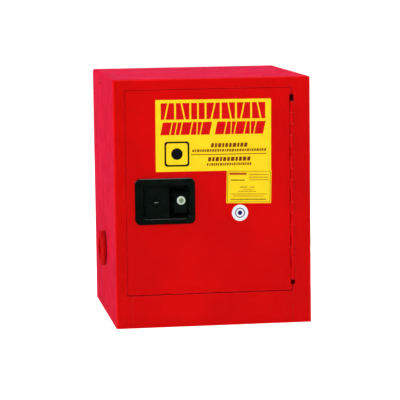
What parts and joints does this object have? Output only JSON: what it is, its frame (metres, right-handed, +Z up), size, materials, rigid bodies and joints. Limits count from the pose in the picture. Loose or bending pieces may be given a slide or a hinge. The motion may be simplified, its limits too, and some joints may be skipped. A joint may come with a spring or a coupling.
{
  "type": "flammable storage cabinet",
  "caption": "Bench-top double-walled steel safety cabinet with one side-hinged door, recessed paddle latch with lock, lift-out shelf, sump and capped side vents.",
  "frame": {"origin": "middle of the underside, on the surface the cabinet stands on", "axes": "+X to the right of someone facing the door, +Y to the back, +Z up"},
  "size_m": [0.4704, 0.4655, 0.5588],
  "materials": {
    "cabinet_red": "gloss",
    "liner_red": "gloss",
    "zinc_steel": "satin",
    "galvanised": "satin",
    "cap_red": "satin",
    "black_plastic": "gloss",
    "black_rubber": "matte",
    "nickel": "polished",
    "guide_plastic": "matte",
    "label_yellow": "satin",
    "label_disc": "satin",
    "plug_dark": "matte"
  },
  "bodies": {
    "cabinet": {"outer_shell": "cabinet_red", "front_bottom_rail": "cabinet_red", "back_panel": "cabinet_red", "base_pan": "cabinet_red", "door_frame": "cabinet_red", "floor_channel_left": "zinc_steel", "floor_channel_right": "zinc_steel", "liner_wrap": "liner_red", "liner_back": "liner_red", "sump_pan": "liner_red", "shelf_clip_front_left": "galvanised", "shelf_clip_front_right": "galvanised", "shelf_clip_rear_left": "galvanised", "shelf_clip_rear_right": "galvanised", "vent_tube_left": "galvanised", "vent_tube_right": "galvanised", "vent_screen_left": "galvanised", "vent_screen_right": "galvanised", "vent_gasket_left": "black_rubber", "vent_gasket_right": "black_rubber", "vent_cap_left": "cap_red", "vent_cap_right": "cap_red", "ground_screw": "zinc_steel", "side_plug": "plug_dark", "hinge_frame_leaf": "cabinet_red", "hinge_pin": "zinc_steel", "strike_plate_side": "zinc_steel", "strike_plate_top": "zinc_steel", "strike_plate_bottom": "zinc_steel"},
    "door": {"door_skin": "cabinet_red", "door_inner_pan": "cabinet_red", "latch_cover": "cabinet_red", "cover_screws": "zinc_steel", "hinge_door_leaf": "cabinet_red", "placard": "label_yellow", "data_label": "label_yellow", "round_sticker": "label_disc", "bezel": "black_plastic", "bezel_gasket": "black_rubber", "latch_bracket": "zinc_steel", "bracket_screws": "zinc_steel", "paddle_pin": "zinc_steel", "paddle_spring": "zinc_steel", "lock_housing": "nickel", "lock_nut": "zinc_steel", "rotor_pivot": "zinc_steel", "rotor_spring": "zinc_steel", "rod_guide_upper": "guide_plastic", "rod_guide_lower": "guide_plastic", "bolt_guide": "guide_plastic"},
    "paddle": {"paddle": "black_plastic"},
    "lock": {"lock_plug": "nickel", "lock_cam": "zinc_steel", "cam_screw": "zinc_steel"},
    "rotor": {"latch_rotor": "zinc_steel"},
    "upper_rod": {"upper_rod": "zinc_steel"},
    "lower_rod": {"lower_rod": "zinc_steel"},
    "bolt": {"latch_bolt": "zinc_steel"},
    "shelf": {"shelf_tray": "galvanised"}
  },
  "joints": [
    {"name": "door_hinge", "type": "hinge", "parent": "cabinet", "child": "door", "pos_m": [0.18025, -0.2294, 0], "axis": [0, 0, 1], "range_deg": [0, 170]},
    {"name": "paddle_hinge", "type": "hinge", "parent": "door", "child": "paddle", "pos_m": [-0.1535, -0.225, 0.283], "axis": [0, 0, -1], "range_deg": [0, 40], "stiffness_Nm_per_rad": 0.3, "springref_deg": -11.46},
    {"name": "lock_turn", "type": "hinge", "parent": "door", "child": "lock", "pos_m": [-0.0723, -0.21, 0.286], "axis": [0, 1, 0], "range_deg": [0, 90]},
    {"name": "upper_rod_slide", "type": "slide", "parent": "door", "child": "upper_rod", "axis": [0, 0, 1], "range_m": [0, 0.013]},
    {"name": "latch_turn", "type": "hinge", "parent": "door", "child": "rotor", "pos_m": [-0.118, -0.2, 0.286], "axis": [0, -1, 0], "range_deg": [0, 36]},
    {"name": "lower_rod_slide", "type": "slide", "parent": "door", "child": "lower_rod", "axis": [0, 0, -1], "range_m": [0, 0.013]},
    {"name": "bolt_slide", "type": "slide", "parent": "door", "child": "bolt", "axis": [-1, 0, 0], "range_m": [0, 0.013]},
    {"name": "shelf_lift", "type": "slide", "parent": "cabinet", "child": "shelf", "axis": [0, 0, 1], "range_m": [0, 0.09]}
  ],
  "couplings": [
    {"joint": "latch_turn", "follows": "upper_rod_slide", "rad_per_m": 48.344},
    {"joint": "lower_rod_slide", "follows": "upper_rod_slide", "ratio": 1},
    {"joint": "bolt_slide", "follows": "upper_rod_slide", "ratio": 1}
  ]
}
